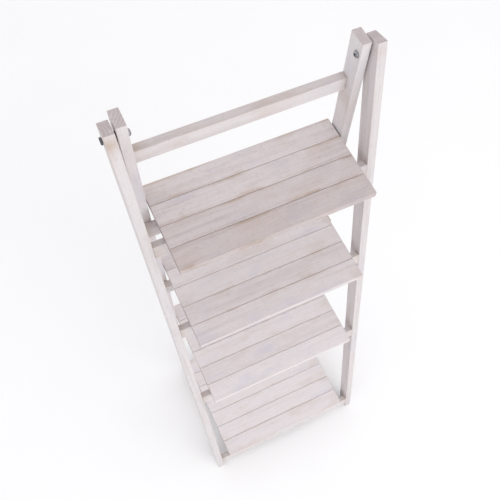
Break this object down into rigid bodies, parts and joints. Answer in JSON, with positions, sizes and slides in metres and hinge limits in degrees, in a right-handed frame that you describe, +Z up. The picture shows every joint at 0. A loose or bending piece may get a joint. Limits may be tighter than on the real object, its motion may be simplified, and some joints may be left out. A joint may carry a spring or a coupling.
{
  "type": "ladder shelf",
  "caption": "Folding wooden ladder shelf: two leaning frames pivoted near the top, with slatted shelves hinged on the front rungs, each deeper than the one above.",
  "frame": {"origin": "on the floor, in the middle of the footprint", "axes": "+X to the right seen from the front, +Y to the rear, +Z up"},
  "size_m": [0.4266, 0.3234, 1.1322],
  "materials": {
    "leg_wood": "whitewashed, satin",
    "rung_wood": "whitewashed, satin",
    "board_wood": "whitewashed, satin",
    "batten_wood": "whitewashed, matte",
    "bright_steel": "satin",
    "dark_steel": "satin"
  },
  "bodies": {
    "front_frame": {"front_leg_left": "leg_wood", "front_leg_right": "leg_wood", "front_rung_1": "rung_wood", "front_rung_2": "rung_wood", "front_rung_3": "rung_wood", "front_rung_4": "rung_wood", "hinge_1_rung_leaf": "bright_steel", "hinge_2_rung_leaf": "bright_steel", "hinge_3_rung_leaf": "bright_steel", "hinge_4_rung_leaf": "bright_steel", "pivot_bolt_left": "bright_steel", "pivot_bolt_right": "bright_steel", "pivot_washer_left": "dark_steel", "pivot_washer_right": "dark_steel", "pivot_nut_left": "dark_steel", "pivot_nut_right": "dark_steel"},
    "rear_frame": {"rear_leg_left": "leg_wood", "rear_leg_right": "leg_wood", "rear_rung_1": "rung_wood", "rear_rung_2": "rung_wood", "rear_rung_3": "rung_wood", "rear_rung_4": "rung_wood", "top_crossbar": "rung_wood"},
    "shelf_1": {"shelf_1_board_1": "board_wood", "shelf_1_board_2": "board_wood", "shelf_1_board_3": "board_wood", "shelf_1_board_4": "board_wood", "shelf_1_batten_left": "batten_wood", "shelf_1_batten_right": "batten_wood", "hinge_1_shelf_leaf": "bright_steel"},
    "shelf_2": {"shelf_2_board_1": "board_wood", "shelf_2_board_2": "board_wood", "shelf_2_board_3": "board_wood", "shelf_2_board_4": "board_wood", "shelf_2_board_5": "board_wood", "shelf_2_batten_left": "batten_wood", "shelf_2_batten_right": "batten_wood", "hinge_2_shelf_leaf": "bright_steel"},
    "shelf_3": {"shelf_3_board_1": "board_wood", "shelf_3_board_2": "board_wood", "shelf_3_board_3": "board_wood", "shelf_3_board_4": "board_wood", "shelf_3_board_5": "board_wood", "shelf_3_board_6": "board_wood", "shelf_3_batten_left": "batten_wood", "shelf_3_batten_right": "batten_wood", "hinge_3_shelf_leaf": "bright_steel"},
    "shelf_4": {"shelf_4_board_1": "board_wood", "shelf_4_board_2": "board_wood", "shelf_4_board_3": "board_wood", "shelf_4_board_4": "board_wood", "shelf_4_board_5": "board_wood", "shelf_4_board_6": "board_wood", "shelf_4_board_7": "board_wood", "shelf_4_batten_left": "batten_wood", "shelf_4_batten_right": "batten_wood", "hinge_4_shelf_leaf": "bright_steel"}
  },
  "joints": [
    {"name": "rear_frame_fold", "type": "hinge", "parent": "front_frame", "child": "rear_frame", "pos_m": [0, 0.11893, 1.10418], "axis": [-1, 0, 0], "range_deg": [0, 10]},
    {"name": "shelf_1_fold", "type": "hinge", "parent": "front_frame", "child": "shelf_1", "pos_m": [0, 0.04628, 0.914], "axis": [1, 0, 0], "range_deg": [0, 77]},
    {"name": "shelf_2_fold", "type": "hinge", "parent": "front_frame", "child": "shelf_2", "pos_m": [0, -0.00774, 0.68], "axis": [1, 0, 0], "range_deg": [0, 77]},
    {"name": "shelf_3_fold", "type": "hinge", "parent": "front_frame", "child": "shelf_3", "pos_m": [0, -0.07077, 0.407], "axis": [1, 0, 0], "range_deg": [0, 77]},
    {"name": "shelf_4_fold", "type": "hinge", "parent": "front_frame", "child": "shelf_4", "pos_m": [0, -0.15411, 0.046], "axis": [1, 0, 0], "range_deg": [0, 77]}
  ],
  "couplings": [
    {"joint": "shelf_1_fold", "follows": "rear_frame_fold", "ratio": 7.7},
    {"joint": "shelf_2_fold", "follows": "rear_frame_fold", "ratio": 7.7},
    {"joint": "shelf_3_fold", "follows": "rear_frame_fold", "ratio": 7.7},
    {"joint": "shelf_4_fold", "follows": "rear_frame_fold", "ratio": 7.7}
  ]
}
